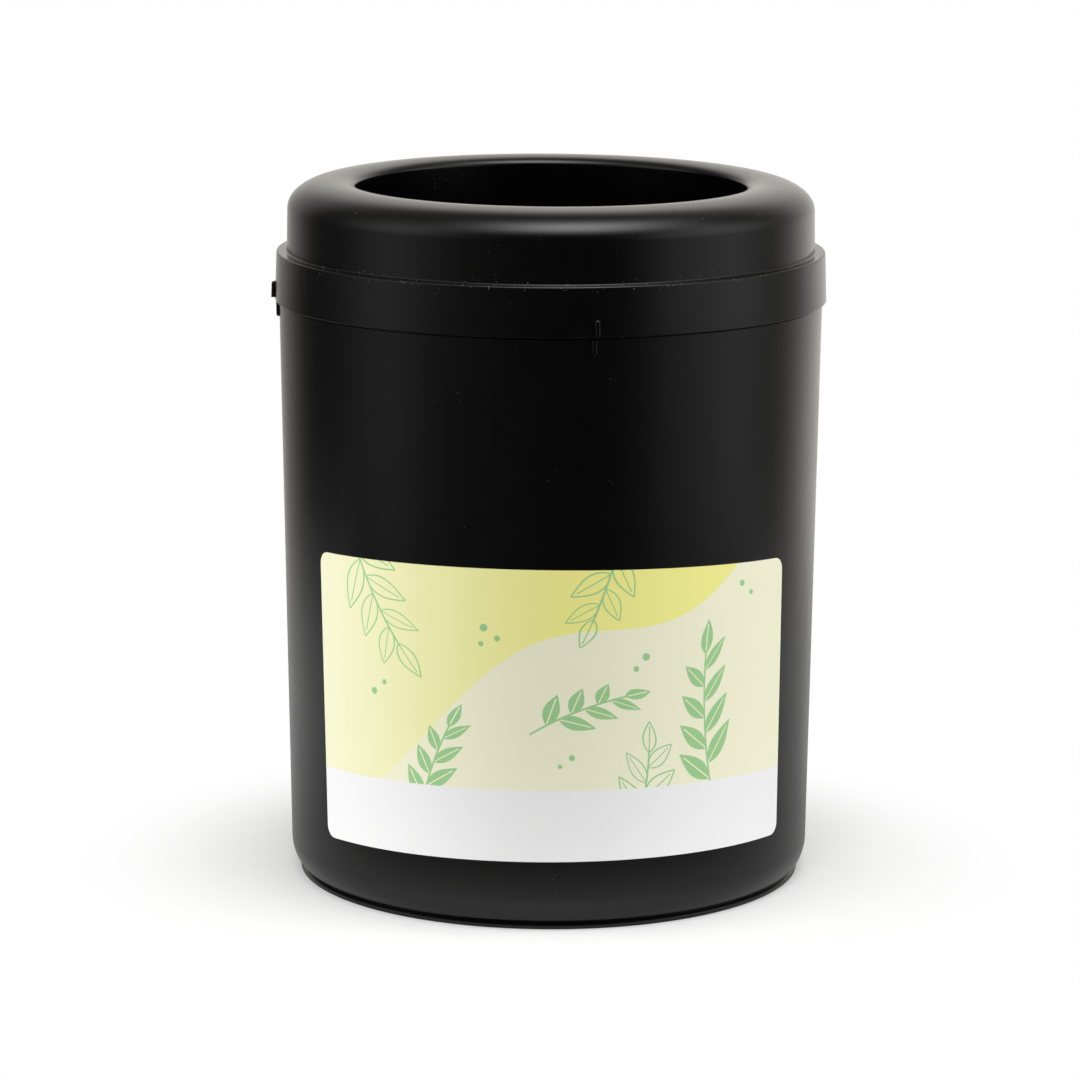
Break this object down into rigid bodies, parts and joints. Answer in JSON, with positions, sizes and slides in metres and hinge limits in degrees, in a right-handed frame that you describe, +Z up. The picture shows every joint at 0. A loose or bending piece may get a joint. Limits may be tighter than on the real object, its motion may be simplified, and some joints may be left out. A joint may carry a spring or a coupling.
{
  "type": "fragrance cartridge",
  "caption": "Round black plastic fragrance cartridge: a tapered tub with a domed ring lid, an open mouth, a paper label, and scent beads under a honeycomb screen.",
  "frame": {"origin": "centre of the foot ring's underside", "axes": "+Z up along the turning axis, the label faces -Y"},
  "size_m": [0.1462, 0.1462, 0.1863],
  "materials": {
    "tub_plastic": "black moulded plastic, satin, fine grain",
    "lid_plastic": "black moulded plastic, smooth satin",
    "label_print": "printed film label, pale yellow and cream",
    "screen_plastic": "black moulded plastic, dull",
    "bead_resin": "pale scented resin beads"
  },
  "bodies": {
    "root": {"cup": "tub_plastic", "lid_ring": "lid_plastic", "label": "label_print", "retainer_screen": "screen_plastic", "scent_beads": "bead_resin"}
  },
  "joints": []
}
